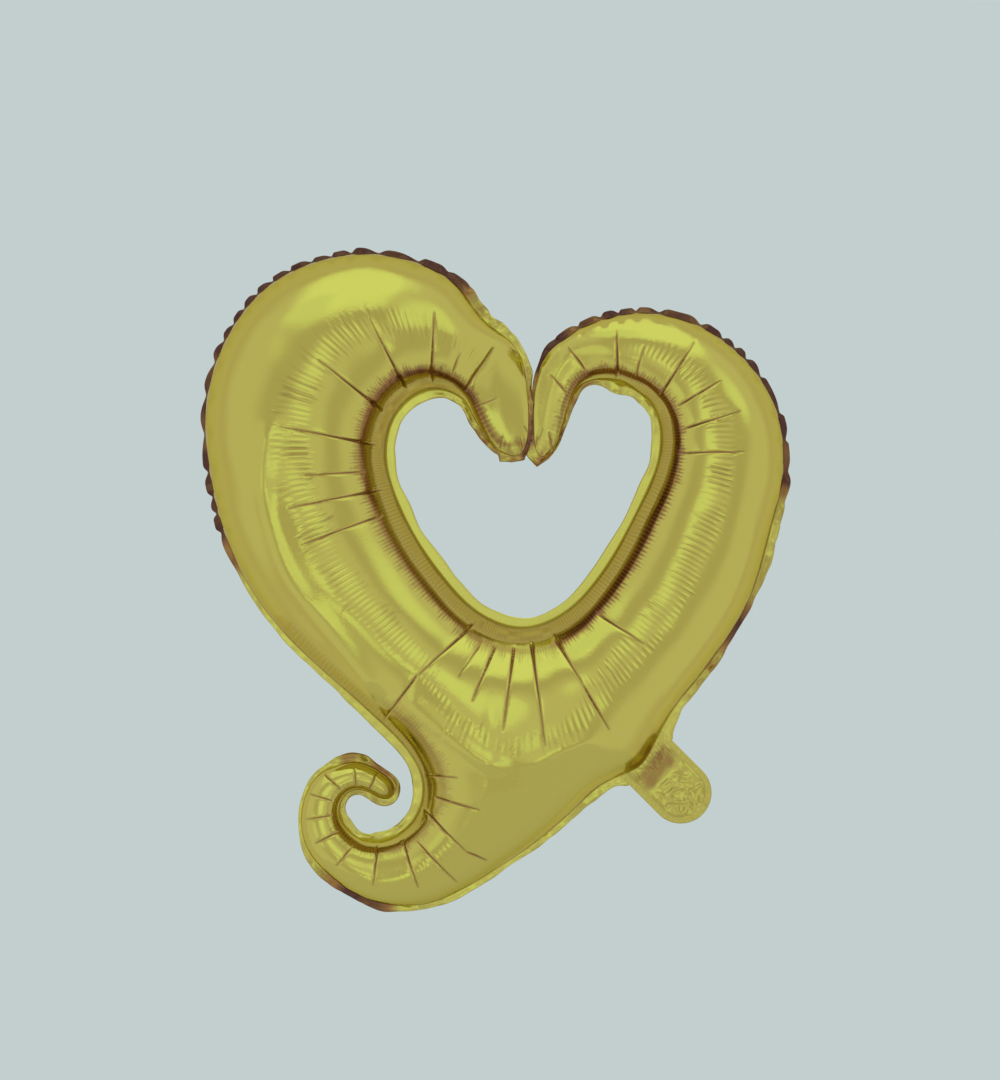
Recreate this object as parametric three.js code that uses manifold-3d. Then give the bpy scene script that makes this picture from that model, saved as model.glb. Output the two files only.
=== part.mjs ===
// Heart-shaped foil balloon with a hook tail, drawn inflated, in millimetres.
//
// Two sheets of metallised film, one in front and one behind, are welded together round their
// cut edge and blown up with air. The balloon is one long tube bent into an open heart: its two
// ends meet in the cleft, and a third limb curls away from the bottom as a hook, which links
// one heart to the next. A flat filling neck with a self-closing valve hangs at the lower right.
//
// +X is to the right, +Y is to the back and +Z is up. The origin is on the welded edge above the
// centre of gravity, where a thread through the edge hangs the balloon upright.
// Film is drawn FILM thick, which is about ten times its real thickness.

import * as THREE from "three";
import { mergeVertices } from "three/addons/utils/BufferGeometryUtils.js";
import Module from "manifold-3d";

const wasm = await Module();
wasm.setup();

// ---- Driving dimensions ----

const FILM = 0.3; // thickness of every film
const GAP = 0.3; // clearance between neighbouring films
const EDGE_WIDTH = 6.5; // welded edge, from the cut to the weld line
const CLEFT_EDGE_WIDTH = 2.2; // the welded edge is narrower where the two ends meet
const CLEFT_X = 44; // the two ends meet on this line ...
const CLEFT_TOP = -48; // ... from here ...
const CLEFT_BOTTOM = -116; // ... down to here
const CLEFT_NEAR = 8; // the edge is at its narrowest within this distance of the line ...
const CLEFT_FAR = 22; // ... and at full width beyond this

const OUTLINE_STEP = 12; // longest spacing of points along the outline ...
const OUTLINE_TURN = 0.6; // ... and its largest turn from one point to the next
const RIM_STEP = 1.8; // first row of points inside the weld line, where the welded edge ends
const SECOND_STEP = 8; // from the first row to the second, less where the tube is narrow
const MESH_PITCH = 14; // spacing of the points over the rest of the foil
const MESH_CLEARANCE = 15; // and their least distance from the first row
const PUFF = 0.96; // depth of the inflated tube over its width

const NECK_END = new THREE.Vector2(155.5, -370); // centre of the neck's round end
const NECK_RADIUS = 23; // half the neck's width
const NECK_ANGLE = -Math.PI / 4; // the way the neck points, from +X
const FOLD_FROM_END = 24; // from that centre back to the line where the neck folds
const FOLD_CLEARANCE = 1.5; // room on each side of the fold line
const NECK_EDGE_WIDTH = 5; // weld along the neck's sides
const MOUTH_WIDTH = 16; // opening in the weld at the neck's end
const FLARE_LENGTH = 16; // where the neck widens into the balloon: this far along ...
const FLARE_WIDTH = 20; // ... and this far out on each side
const ROOT_LENGTH = 32; // from the fold line to well inside the balloon
const VALVE_WIDTH = 26; // the valve's two films
const VALVE_REACH = 62; // how far they run into the balloon from the fold line
const VALVE_SET_BACK = 11.5; // from the neck's end to the valve's mouth

// Layers of film, as distances from the middle plane.
const VALVE_LAYER = [GAP / 2, GAP / 2 + FILM];
const WELD_HALF = GAP / 2 + FILM; // the welded edge is two films thick
const RIM = WELD_HALF + GAP; // the inflated foil starts here
const FLAT_LAYER = [RIM + 0.05, RIM + 0.05 + FILM]; // the flat foil of the neck

// The cut edge as [x, z], anticlockwise seen from the front, from the end of the left limb.
const LEFT_LOBE = [
  [31, -124], [39, -120], [42.8, -104], [42.8, -72], [40, -47], [30, -29], [11, -11], [-8, 12],
  [-36, 28], [-78, 36], [-120, 29], [-157, 9], [-186, -28], [-202, -76], [-201, -124],
  [-189, -177], [-164, -227], [-124, -275], [-82, -314],
];
const HOOK = [
  [-53, -343], [-43, -364], [-49, -388], [-66, -400], [-84, -398], [-95, -385], [-89, -372],
  [-76, -375], [-64, -379], [-55, -374], [-55, -363], [-67, -350], [-88, -342], [-116, -352],
  [-130, -380], [-127, -412], [-106, -440], [-72, -456], [-34, -457], [0, -443],
];
const BOTTOM = [
  [46, -414], [74, -391], [98, -370], [130, -355], [144, -332], [156, -310], [180, -277],
];
const RIGHT_LOBE = [
  [208, -233], [227, -183], [237, -130], [232, -86], [211, -49], [173, -19], [130, -8],
  [90, -15], [60, -33], [48, -54], [45.2, -76], [45.2, -104], [46.5, -119], [53, -125],
  [61, -119],
];
const HEART_HOLE = [
  [73, -89], [84, -70], [108, -71], [130, -87], [133, -116], [116, -158], [90, -203],
  [66, -229], [38, -240], [9, -230], [-18, -202], [-43, -163], [-57, -121], [-51, -92],
  [-30, -76], [-12, -81], [6, -105], [19, -118],
];
const CUT_EDGE = [...LEFT_LOBE, ...HOOK, ...BOTTOM, ...RIGHT_LOBE, ...HEART_HOLE];

// ---- Outlines in the XZ plane, as lists of Vector2 ----

// Closely spaced points on a smooth curve through the knots.
function closedCurve(knots) {
  const curve = new THREE.CatmullRomCurve3(
    knots.map(([x, z]) => new THREE.Vector3(x, z, 0)),
    true,
    "centripetal",
  );
  curve.arcLengthDivisions = 4000;
  return curve
    .getSpacedPoints(1600)
    .slice(1)
    .map((p) => new THREE.Vector2(p.x, p.y));
}

// The way into an anticlockwise outline, at one of its points.
function inward(outline, i) {
  const n = outline.length;
  const along = outline[(i + 1) % n].clone().sub(outline[(i + n - 1) % n]);
  return new THREE.Vector2(-along.y, along.x).normalize();
}

function inset(outline, width) {
  return outline.map((p, i) => p.clone().addScaledVector(inward(outline, i), width(p)));
}

// Rounds off the kinks that insetting leaves where an outline turns sharply.
function relax(outline) {
  let points = outline;
  for (let pass = 0; pass < 20; pass++) {
    const n = points.length;
    points = points.map((p, i) =>
      points[(i + 1) % n].clone().add(points[(i + n - 1) % n]).multiplyScalar(0.5).lerp(p, 0.5),
    );
  }
  return points;
}

// Which points of a closely spaced outline to keep: more of them where it turns sharply.
function thin(outline) {
  const kept = [];
  let cost = 1;
  outline.forEach((p, i) => {
    const next = outline[(i + 1) % outline.length];
    const turn = Math.abs(inward(outline, i).cross(inward(outline, (i + 1) % outline.length)));
    if (cost >= 1) {
      kept.push(i);
      cost -= 1;
    }
    cost += p.distanceTo(next) / OUTLINE_STEP + turn / OUTLINE_TURN;
  });
  return kept;
}

function inside(outline, p) {
  let odd = false;
  outline.forEach((a, i) => {
    const b = outline[(i + 1) % outline.length];
    if (a.y > p.y !== b.y > p.y && p.x < a.x + ((b.x - a.x) * (p.y - a.y)) / (b.y - a.y)) {
      odd = !odd;
    }
  });
  return odd;
}

function distanceTo(outline, p) {
  let least = Infinity;
  outline.forEach((a, i) => {
    const side = outline[(i + 1) % outline.length].clone().sub(a);
    const t = THREE.MathUtils.clamp(p.clone().sub(a).dot(side) / side.lengthSq(), 0, 1);
    least = Math.min(least, p.distanceTo(a.clone().addScaledVector(side, t)));
  });
  return least;
}

// Full width away from the cleft, and narrow within it.
function edgeWidth(p) {
  const z = THREE.MathUtils.clamp(p.y, CLEFT_BOTTOM, CLEFT_TOP);
  const away = Math.hypot(p.x - CLEFT_X, p.y - z);
  const share = THREE.MathUtils.smoothstep(away, CLEFT_NEAR, CLEFT_FAR);
  return THREE.MathUtils.lerp(CLEFT_EDGE_WIDTH, EDGE_WIDTH, share);
}

const cut = closedCurve(CUT_EDGE);
const weld = relax(inset(cut, edgeWidth));
const inner = relax(inset(weld, () => RIM_STEP));
const kept = thin(cut);
const cutEdge = kept.map((i) => cut[i]);
const weldLine = kept.map((i) => weld[i]);
const firstRow = kept.map((i) => inner[i]);

// ---- Triangulating the foil ----

// Delaunay triangles of scattered points, by inserting them one at a time.
function delaunay(points) {
  const far = 1e4;
  const all = [
    ...points,
    new THREE.Vector2(-far, -far),
    new THREE.Vector2(far, -far),
    new THREE.Vector2(0, far),
  ];
  const circled = (a, b, c) => {
    const [p, q, r] = [all[a], all[b], all[c]];
    const d = 2 * (p.x * (q.y - r.y) + q.x * (r.y - p.y) + r.x * (p.y - q.y));
    const [pp, qq, rr] = [p.lengthSq(), q.lengthSq(), r.lengthSq()];
    const x = (pp * (q.y - r.y) + qq * (r.y - p.y) + rr * (p.y - q.y)) / d;
    const y = (pp * (r.x - q.x) + qq * (p.x - r.x) + rr * (q.x - p.x)) / d;
    return { corners: [a, b, c], x, y, radiusSq: (p.x - x) ** 2 + (p.y - y) ** 2 };
  };
  const n = points.length;
  let triangles = [circled(n, n + 1, n + 2)];
  points.forEach((p, i) => {
    const rim = new Map();
    triangles = triangles.filter((t) => {
      if ((p.x - t.x) ** 2 + (p.y - t.y) ** 2 > t.radiusSq) return true;
      t.corners.forEach((a, k) => {
        const b = t.corners[(k + 1) % 3];
        if (!rim.delete(b + "," + a)) rim.set(a + "," + b, [a, b]);
      });
      return false;
    });
    for (const [a, b] of rim.values()) triangles.push(circled(a, b, i));
  });
  return triangles.map((t) => t.corners).filter((c) => Math.max(...c) < n);
}

// Points inside the first row, drawn nearer to it where the far side of the tube is close.
function secondRow() {
  const row = [];
  firstRow.forEach((p, i) => {
    for (let step = SECOND_STEP; step > SECOND_STEP / 4; step *= 0.75) {
      const q = p.clone().addScaledVector(inward(firstRow, i), step);
      const crowded = row.some((other) => other.distanceTo(q) < 0.6 * step);
      if (!crowded && distanceTo(firstRow, q) > 0.9 * step) {
        row.push(q);
        break;
      }
    }
  });
  return row;
}

// The inflated region as points and anticlockwise triangles; its first points are the weld line.
function meshFoil() {
  const scattered = secondRow();
  const rise = (MESH_PITCH * Math.sqrt(3)) / 2;
  const { min, max } = new THREE.Box2().setFromPoints(firstRow);
  for (let k = 0; min.y + k * rise < max.y; k++) {
    for (let x = min.x + ((k % 2) * MESH_PITCH) / 2; x < max.x; x += MESH_PITCH) {
      const p = new THREE.Vector2(x, min.y + k * rise);
      if (inside(firstRow, p) && distanceTo(firstRow, p) > MESH_CLEARANCE) scattered.push(p);
    }
  }
  const interior = [...firstRow, ...scattered];
  const middle = ([a, b, c]) =>
    interior[a].clone().add(interior[b]).add(interior[c]).divideScalar(3);
  const n = weldLine.length;
  const triangles = delaunay(interior)
    .filter((t) => inside(firstRow, middle(t)))
    .map((t) => t.map((i) => i + n));
  for (let i = 0; i < n; i++) {
    const j = (i + 1) % n;
    triangles.push([i, i + n, j], [j, i + n, j + n]);
  }
  const points = [...weldLine, ...interior];
  const area = ([a, b, c]) =>
    points[b].clone().sub(points[a]).cross(points[c].clone().sub(points[a]));
  return {
    points,
    triangles: triangles.map((t) => (area(t) > 0 ? t : [t[0], t[2], t[1]])),
  };
}

// Depth of the inflated foil over each point. Its square solves Poisson's equation with the weld
// line held at zero, which gives a straight tube a round section and runs limbs smoothly together.
function inflate({ points, triangles }) {
  const held = weldLine.length;
  const links = points.map(() => new Map());
  const load = new Float64Array(points.length);
  for (const t of triangles) {
    t.forEach((a, k) => {
      const [b, c] = [t[(k + 1) % 3], t[(k + 2) % 3]];
      const u = points[b].clone().sub(points[a]);
      const v = points[c].clone().sub(points[a]);
      const weight = u.dot(v) / u.cross(v) / 2;
      links[b].set(c, (links[b].get(c) ?? 0) + weight);
      links[c].set(b, (links[c].get(b) ?? 0) + weight);
      load[a] += u.cross(v) / 3;
    });
  }
  const squared = new Float64Array(points.length);
  const overstep = 1.9;
  for (let sweep = 0; sweep < 400; sweep++) {
    for (let i = held; i < points.length; i++) {
      let pull = load[i];
      let total = 0;
      for (const [j, weight] of links[i]) {
        pull += weight * squared[j];
        total += weight;
      }
      squared[i] += overstep * (pull / total - squared[i]);
    }
  }
  return Array.from(squared, (s) => PUFF * Math.sqrt(Math.max(s, 0)));
}

// ---- Solids ----

function solidOf(geometry) {
  const bare = geometry.clone();
  bare.deleteAttribute("normal");
  bare.deleteAttribute("uv");
  const merged = mergeVertices(bare, 1e-3);
  return new wasm.Manifold(
    new wasm.Mesh({
      numProp: 3,
      vertProperties: new Float32Array(merged.attributes.position.array),
      triVerts: new Uint32Array(merged.index.array),
    }),
  );
}

function geometryOf(solid) {
  const mesh = solid.getMesh();
  const geometry = new THREE.BufferGeometry();
  geometry.setAttribute("position", new THREE.BufferAttribute(mesh.vertProperties, 3));
  geometry.setIndex(new THREE.BufferAttribute(mesh.triVerts, 1));
  geometry.computeVertexNormals();
  return geometry;
}

// A flat plate between two depths, from an outline in the XZ plane.
function plate(outline, yLow, yHigh) {
  const geometry = new THREE.ExtrudeGeometry(new THREE.Shape(outline), {
    depth: yHigh - yLow,
    bevelEnabled: false,
    curveSegments: 16,
  });
  return solidOf(geometry.rotateX(Math.PI / 2).translate(0, yHigh, 0));
}

// One inflated sheet as a thin shell. side is -1 for the front and 1 for the back.
function dome({ points, triangles }, depths, side) {
  const n = points.length;
  const outer = points.map((p, i) => new THREE.Vector3(p.x, side * (RIM + depths[i]), p.y));
  const faces = side < 0 ? triangles : triangles.map(([a, b, c]) => [a, c, b]);
  const normals = outer.map(() => new THREE.Vector3());
  for (const [a, b, c] of faces) {
    const ab = outer[b].clone().sub(outer[a]);
    const normal = ab.cross(outer[c].clone().sub(outer[a]));
    for (const i of [a, b, c]) normals[i].add(normal);
  }
  weldLine.forEach((_, i) => {
    const way = inward(weldLine, i);
    normals[i].set(-way.x, 0, -way.y);
  });
  const innerSide = outer.map((p, i) => p.clone().addScaledVector(normals[i].normalize(), -FILM));
  const index = faces.flatMap(([a, b, c]) => [a, b, c, a + n, c + n, b + n]);
  const rim = weldLine.length;
  for (let i = 0; i < rim; i++) {
    const j = (i + 1) % rim;
    if (side < 0) index.push(i, i + n, j, j, i + n, j + n);
    else index.push(i, j, i + n, j, j + n, i + n);
  }
  const geometry = new THREE.BufferGeometry().setFromPoints([...outer, ...innerSide]);
  geometry.setIndex(index);
  return solidOf(geometry);
}

// ---- The neck ----

// A point given along the neck from the centre of its round end, and across it.
function onNeck(along, across) {
  return new THREE.Vector2(along, across).rotateAround(new THREE.Vector2(), NECK_ANGLE).add(NECK_END);
}

function neckBox(alongLow, alongHigh, halfWidth) {
  return [
    onNeck(alongLow, -halfWidth),
    onNeck(alongHigh, -halfWidth),
    onNeck(alongHigh, halfWidth),
    onNeck(alongLow, halfWidth),
  ];
}

// The tab from a given distance along it to its round end, less a margin all round.
function tabOutline(start, margin) {
  const radius = NECK_RADIUS - margin;
  const end = Array.from({ length: 17 }, (_, i) => {
    const turn = -Math.PI / 2 + (Math.PI * i) / 16;
    return onNeck(radius * Math.cos(turn), radius * Math.sin(turn));
  });
  return [onNeck(start, -radius), ...end, onNeck(start, radius)];
}

// The flat web between the balloon and the fold line, flaring into the cut edge on both sides.
function rootOutline() {
  const start = -FOLD_CLEARANCE - FOLD_FROM_END;
  const flare = (side) =>
    new THREE.QuadraticBezierCurve(
      onNeck(start, side * NECK_RADIUS),
      onNeck(start - 0.7 * FLARE_LENGTH, side * NECK_RADIUS),
      onNeck(start - FLARE_LENGTH, side * (NECK_RADIUS + FLARE_WIDTH)),
    ).getPoints(8);
  return [
    ...flare(1),
    onNeck(start - ROOT_LENGTH, NECK_RADIUS),
    onNeck(start - ROOT_LENGTH, -NECK_RADIUS),
    ...flare(-1).reverse(),
  ];
}

// ---- Materials ----

const gold = new THREE.MeshStandardMaterial({ color: 0xc9b53a, roughness: 0.25, metalness: 1 });
const goldWeld = new THREE.MeshStandardMaterial({ color: 0xa8852c, roughness: 0.32, metalness: 1 });
const clearFilm = new THREE.MeshStandardMaterial({ color: 0xe9ecea, roughness: 0.35, metalness: 0 });

function part(name, solid, material) {
  const mesh = new THREE.Mesh(geometryOf(solid), material);
  mesh.name = name;
  return mesh;
}

// ---- Assembly ----

const balloon = new THREE.Group();
const foil = meshFoil();
const depths = inflate(foil);
const root = rootOutline();
const tabStart = FOLD_CLEARANCE - FOLD_FROM_END;
const channelHalf = NECK_RADIUS - NECK_EDGE_WIDTH;
const layer = ([near, far], side) => (side < 0 ? [-far, -near] : [near, far]);
const sides = [["front", -1], ["back", 1]];

// The web's foil is one sheet with the inflated foil, which it meets just inside the weld line.
for (const [name, side] of sides) {
  const [low, high] = layer(FLAT_LAYER, side);
  const web = plate(root, low, high).subtract(plate(firstRow, low - 1, high + 1));
  balloon.add(part(`${name}_foil`, dome(foil, depths, side).add(web), gold));
}

// The welded edge goes all round, and is left open where the valve comes through.
const welded = plate(cutEdge, -WELD_HALF, WELD_HALF)
  .add(plate(root, -WELD_HALF, WELD_HALF))
  .subtract(plate(firstRow, -1, 1))
  .subtract(plate(neckBox(-FOLD_FROM_END - ROOT_LENGTH, 0, channelHalf), -1, 1));
balloon.add(part("edge_weld", welded, goldWeld));

for (const [name, side] of sides) {
  const start = -FOLD_FROM_END - VALVE_REACH;
  const inner = neckBox(start, -FOLD_FROM_END - FOLD_CLEARANCE, VALVE_WIDTH / 2);
  balloon.add(part(`valve_${name}_inner`, plate(inner, ...layer(VALVE_LAYER, side)), clearFilm));
}

// The neck folds to the front or the back about the fold line.
const neck = new THREE.Group();
for (const [name, side] of sides) {
  const flap = plate(tabOutline(tabStart, 0), ...layer(FLAT_LAYER, side));
  neck.add(part(`neck_${name}_foil`, flap, gold));
  const outer = neckBox(tabStart, NECK_RADIUS - VALVE_SET_BACK, VALVE_WIDTH / 2);
  neck.add(part(`valve_${name}_outer`, plate(outer, ...layer(VALVE_LAYER, side)), clearFilm));
}

// A weld down each side of the neck, with the mouth between their ends.
const neckWelds = plate(tabOutline(tabStart, 0), -WELD_HALF, WELD_HALF)
  .subtract(plate(tabOutline(tabStart - 1, NECK_EDGE_WIDTH), -1, 1))
  .subtract(plate(neckBox(0, 2 * NECK_RADIUS, MOUTH_WIDTH / 2), -1, 1));
neckWelds.decompose().forEach((strip, i) => {
  neck.add(part(["neck_weld_lower", "neck_weld_upper"][i], strip, goldWeld));
});
balloon.add(neck);

export default balloon;
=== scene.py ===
"""A heart-shaped foil balloon, inflated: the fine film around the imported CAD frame.

The frame gives the weld line, the cut edge and the depth of the foil; the neck's sizes repeat the CAD's.
The film is inflated on a fine mesh, and is then creased, rippled and puckered as film is that was cut flat.
Lengths are millimetres, and become metres when a mesh is made. A place on the film is [x, z].
"""

import math

import bpy
import numpy as np
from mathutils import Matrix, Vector
from mathutils.geometry import delaunay_2d_cdt
from mathutils.kdtree import KDTree


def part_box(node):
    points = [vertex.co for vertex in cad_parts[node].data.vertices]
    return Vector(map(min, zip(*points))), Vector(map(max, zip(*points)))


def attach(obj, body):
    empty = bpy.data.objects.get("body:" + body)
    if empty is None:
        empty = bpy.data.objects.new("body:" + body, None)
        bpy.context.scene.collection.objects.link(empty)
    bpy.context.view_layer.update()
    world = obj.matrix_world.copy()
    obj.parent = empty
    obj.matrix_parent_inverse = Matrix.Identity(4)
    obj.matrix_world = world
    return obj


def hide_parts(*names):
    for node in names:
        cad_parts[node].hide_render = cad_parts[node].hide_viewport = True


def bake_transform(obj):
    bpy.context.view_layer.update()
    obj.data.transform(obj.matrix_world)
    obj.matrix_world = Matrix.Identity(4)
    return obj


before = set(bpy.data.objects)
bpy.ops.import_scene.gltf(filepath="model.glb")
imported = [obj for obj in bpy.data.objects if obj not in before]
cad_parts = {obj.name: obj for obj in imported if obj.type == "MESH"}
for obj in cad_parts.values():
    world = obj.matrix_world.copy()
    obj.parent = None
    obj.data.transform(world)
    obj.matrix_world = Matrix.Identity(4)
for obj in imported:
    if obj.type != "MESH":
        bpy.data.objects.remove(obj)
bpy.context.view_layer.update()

MM = 0.001

# ---- Where one kind of edge ends and another starts ----

LEFT_TIP = (35, -121)  # end of the left limb
RIGHT_TIP = (53, -123)  # end of the right limb
HOOK_END = (-57, -368)
THROAT_START = (-143, -250)  # the outer edge of the left limb becomes the inner edge of the hook here

# ---- The fine mesh ----

SHEET = 0.12  # half the thickness of the two films where they are welded
WELD_STEP = 1  # spacing of points on the weld line
USUAL_WIDTH = 110  # of the inflated tube
WIDEST = 150  # wider places count as this wide
NARROW = 52  # a tube narrower than about this has no ripples
COLUMN = 0.85  # spacing of columns of points along the inner edges
OUTER_COLUMN = 1.7  # the same along the outer edges
OUTER_REACH = 11  # how far in the columns go there
RIM_ROWS = [0.12, 0.5, 1.1, 1.9, 3.0, 4.4, 6.1, 8.2]  # how far in the rows beside an edge are
OUTER_ROWS = RIM_ROWS + [10.4]
RIM_BAND = 9  # narrow tubes have rows up to here only
FRINGE_ROWS = 8
FRINGE_ROW_STEP = 1.75
PLAIN_ROWS = 4
RIPPLE_ROWS = 15
RIPPLE_START = 0.345  # where the ripples' rows start, as a share of the tube's width
RIPPLE_SPAN = 0.27
LATTICE = 3.0  # spacing of points elsewhere
FINE_LATTICE = 1.7
FINE_PLACES = [((-12, -125), (100, -38)), ((-140, -455), (12, -330))]  # the limbs' ends, and the hook
FREE_DEPTH = 2  # how far from the weld other points stay
BAND_REACH = 0.62  # how far across a tube its columns go, as a share of its width
WHOLE_ROOM = 0.62  # least distance between points in the rows that all columns have ...
HALF_ROOM = 0.9  # ... and in those that every other column has
OUTER_ROOM = 1.1
LATTICE_ROOM = 0.72  # as a share of its pitch
CREASE_STEP = 1.8
CREASE_ROOM = 0.3
CREASE_OFFSETS = (0, 0.4, -0.4, 0.9, -0.9, 1.7, -1.7, 2.8, -2.8)

# ---- The inflated shape ----

FLAT_ENDS = [((32, -52), (35, -120)), ((60, -50), (53, -120))]  # the limbs' ends are flatter ...
FLAT_FACTOR = 0.5  # ... by this share ...
FLAT_ALONG = (-0.8, 0.25)  # ... reached between these shares of the way to the tip ...
FLAT_BESIDE = (14, 50)  # ... and lost again between these distances to the side.
RIM_EASE = 0.08  # all round, the film starts this share lower ...
RIM_EASE_WIDTH = 9  # ... and is full this far in
WALL_SLOPE = 0.8  # rise over distance from the weld
LOW_WALL = ((42, -40), (46, -108))  # along here the film rises no steeper than that ...
LOW_REACH = (4, 34)  # ... up to the first of these distances, and freely beyond the second
LOW_MORE = 14  # how soon it is free between them

# ---- Fringe, ripples, the small relief by the rim, and their painted shade ----

FRINGE_AT = 14.5  # how far in a tube of the usual width turns over from steep to flat ...
FRINGE_BEFORE = 6  # ... in a band from this much nearer the weld ...
FRINGE_AFTER = 9  # ... to this much further in
FRINGE_PITCH = 3.2
FRINGE_HEIGHT = 0.06
FRINGE_CORE = 2.6  # half the width of its core, the band of darkest painted shade
FRINGE_HAIRS = 5.5  # length of the strokes that leave that band
# painted shade of the fringe, where the film turns over
FRINGE_PAINTED_SHADE = 0.84
WALL_PAINTED_SHADE = 0.26  # painted shade of the steep film between the fringe and the weld
HAIRS_SHARE = 0.62  # of the core's strength
RIPPLE_PITCH = 4.0
RIPPLE_HEIGHT = 0.2
RUFFLE_PITCH = 17.5
PILLOW_HEIGHT = 0.8
PINCH_DEPTH = 0.9
FULL_SWING = 80  # degrees of the edge's swing that go with full pillows and pinches
CREASE_BROAD = 4.5  # how far to the side a crease draws the film in
CREASE_NARROW = 0.75  # half the width of its sharp part
# painted shade: how dark the creases, the hook's fringe, the ripples' troughs and the neck's gathers are
# painted
CREASE_SHADE = 0.88
HOOK_SHADE = 0.64
RIPPLE_SHADE = 0.26
NECK_SHADE = 0.3
NECK_PAINTED_SHADE = 0.12  # painted shade all over the neck ...
NECK_BAND_PAINTED_SHADE = 0.34  # ... and this much more across its middle

# ---- The neck ----

NECK_END = np.array([155.5, -370])  # centre of its round end
ALONG = np.array([math.sqrt(0.5), -math.sqrt(0.5)])
ACROSS = np.array([math.sqrt(0.5), math.sqrt(0.5)])
NECK_RADIUS = 23
NECK_START = -46  # just inside the balloon's rim
NECK_EDGE = 5  # width of the weld along its sides
MOUTH = 16  # width of its opening
NECK_ROOT = NECK_END - 42 * ALONG
ROOT_REACH = 40  # the film opens for it within this distance of its root ...
ROOT_HALF = 21  # ... and this far to each side of its middle
NECK_SWELL = 2.6  # half its thickness at the root
NECK_WALL = 0.09  # thickness of each of its films
NECK_PITCH = 0.95  # spacing of points on it
NECK_JOIN = np.array([130, -345])  # middle of the rim where it starts

# ---- Colours ----

GOLD = (0.668, 0.594, 0.126)
# painted shade: olive, copper and brown stand in for the dark reflections in creases, fringes and folds
PAINTED_SHADE_OLIVE = (0.475, 0.367, 0.084)
PAINTED_SHADE_COPPER = (0.36, 0.175, 0.055)
PAINTED_SHADE_BROWN = (0.10, 0.034, 0.026)
FILM_COLOUR_AND_PAINTED_SHADE = [(0, GOLD), (0.28, PAINTED_SHADE_OLIVE), (0.52, PAINTED_SHADE_COPPER), (0.88, PAINTED_SHADE_BROWN)]  # gold, darkened by painted shade to olive, copper and brown, by how much painted shade the film has
GOLD_EDGE = (0.62, 0.53, 0.16)  # tint towards grazing angles
CLEAR = (0.86, 0.9, 0.9)
FLOOR_GREY = (0.82, 0.80, 0.88)
BACKDROP = (0.545, 0.625, 0.625)

# ---- The studio ----

FLOOR_LEVEL = -0.75  # metres, as are the rest here
FLOOR_RADIUS = 0.52
FLOOR_SIDES = 96
CAMERA_DISTANCE = 2.4
CAMERA_SIDE = 0.0209
CAMERA_LEVEL = -0.1818
PICTURE_HEIGHT = 0.8046  # what the camera takes in at the balloon
SENSOR = 36  # millimetres

# What the film reflects: angle from the line to the camera, and colour.
STUDIO = [
    (0, (0.67, 0.69, 0.66)), (22, (0.67, 0.69, 0.66)), (32, (0.55, 0.54, 0.50)),
    (43, (0.55, 0.54, 0.50)), (56, (0.67, 0.69, 0.66)), (86, (0.68, 0.69, 0.66)),
    (100, (0.60, 0.57, 0.52)), (120, (0.66, 0.65, 0.62)), (180, (0.70, 0.70, 0.68)),
]
# Soft lights in it: direction, full out to this angle, faded by this angle, colour.
SOFT_LIGHTS = [
    ((-0.11, -1, 0.15), 6, 16, (0.84, 0.99, 0.79)),
    ((-0.34, -0.9, -0.24), 3, 7, (0.85, 1.01, 0.78)),
    ((-0.36, -0.8, -0.46), 3, 7, (0.85, 1.01, 0.78)),
    ((-0.05, -0.32, 0.95), 24, 34, (0.90, 1.06, 0.82)),
    ((0.60, -0.62, 0.5), 6, 18, (0.82, 0.96, 0.78)),
    ((0.25, -0.9, -0.35), 4, 14, (0.80, 0.94, 0.76)),
    ((-0.7, -0.7, -0.1), 4, 14, (0.74, 0.82, 0.70)),
    ((-0.42, -0.5, 0.76), 8, 20, (0.80, 0.94, 0.76)),
]

# ---- Tables of places ----

# Creases: from near the inner edge, to the outer end, depth.
CREASES = [
    ((-66, -86), (-112, -50), 2.2), ((-48, -70), (-75, -19), 2.2), ((-29, -65), (-27, -13), 2.2),
    ((-14, -60), (-8, -43), 1), ((-4, -71), (17, -38), 2), ((6, -82), (20, -76), 0.9),
    ((-71, -112), (-142, -99), 2), ((-80, -132), (-121, -135), 1.2), ((-66, -145), (-134, -159), 1.6),
    ((-66, -164), (-125, -186), 1.6), ((70, -72), (58, -58), 1.2), ((84, -56), (71, -38), 1.6),
    ((107, -61), (107, -26), 2), ((121, -60), (127, -38), 1.1), ((139, -74), (165, -35), 2),
    ((152, -83), (184, -64), 1.6), ((156, -100), (198, -87), 1.8), ((154, -118), (201, -117), 1.6),
    ((2, -243), (-40, -281), 2), ((-40, -281), (-67, -317), 1.8), ((8, -256), (-10, -282), 1),
    ((17, -260), (0, -300), 1.8), ((31, -261), (23, -321), 2), ((44, -258), (54, -332), 2),
    ((61, -253), (82, -288), 2.2), ((82, -288), (101, -321), 1.8), ((93, -236), (127, -258), 2),
    ((-32, -355), (-9, -355), 1.3), ((-26, -371), (7, -379), 1.6), ((-35, -381), (-3, -411), 2),
    ((-3, -411), (12, -418), 1.4), ((-40, -404), (-10, -435), 1.6), ((-51, -405), (-39, -439), 2),
    ((-70, -409), (-73, -438), 1.6), ((-88, -408), (-101, -424), 1.5), ((-99, -398), (-117, -407), 1.4),
    ((-104, -386), (-124, -389), 1.4), ((-104, -375), (-121, -370), 1.4),
    ((-98, -366), (-110, -355), 1.4), ((-86, -364), (-87, -350), 1.4), ((-76, -367), (-70, -354), 1.2),
    ((20, -117), (23, -104), 1.6), ((27, -119), (28, -110), 1), ((38, -116), (36, -104), 1.8),
    ((43, -104), (38, -96), 1), ((50, -106), (53, -98), 1), ((46, -116), (49, -104), 1.6),
    ((60, -113), (57, -100), 1.8), ((70, -92), (61, -89), 1.2), ((36, -50), (46, -77), 1),
    ((78, -74), (70, -92), 1.4),
]

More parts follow.
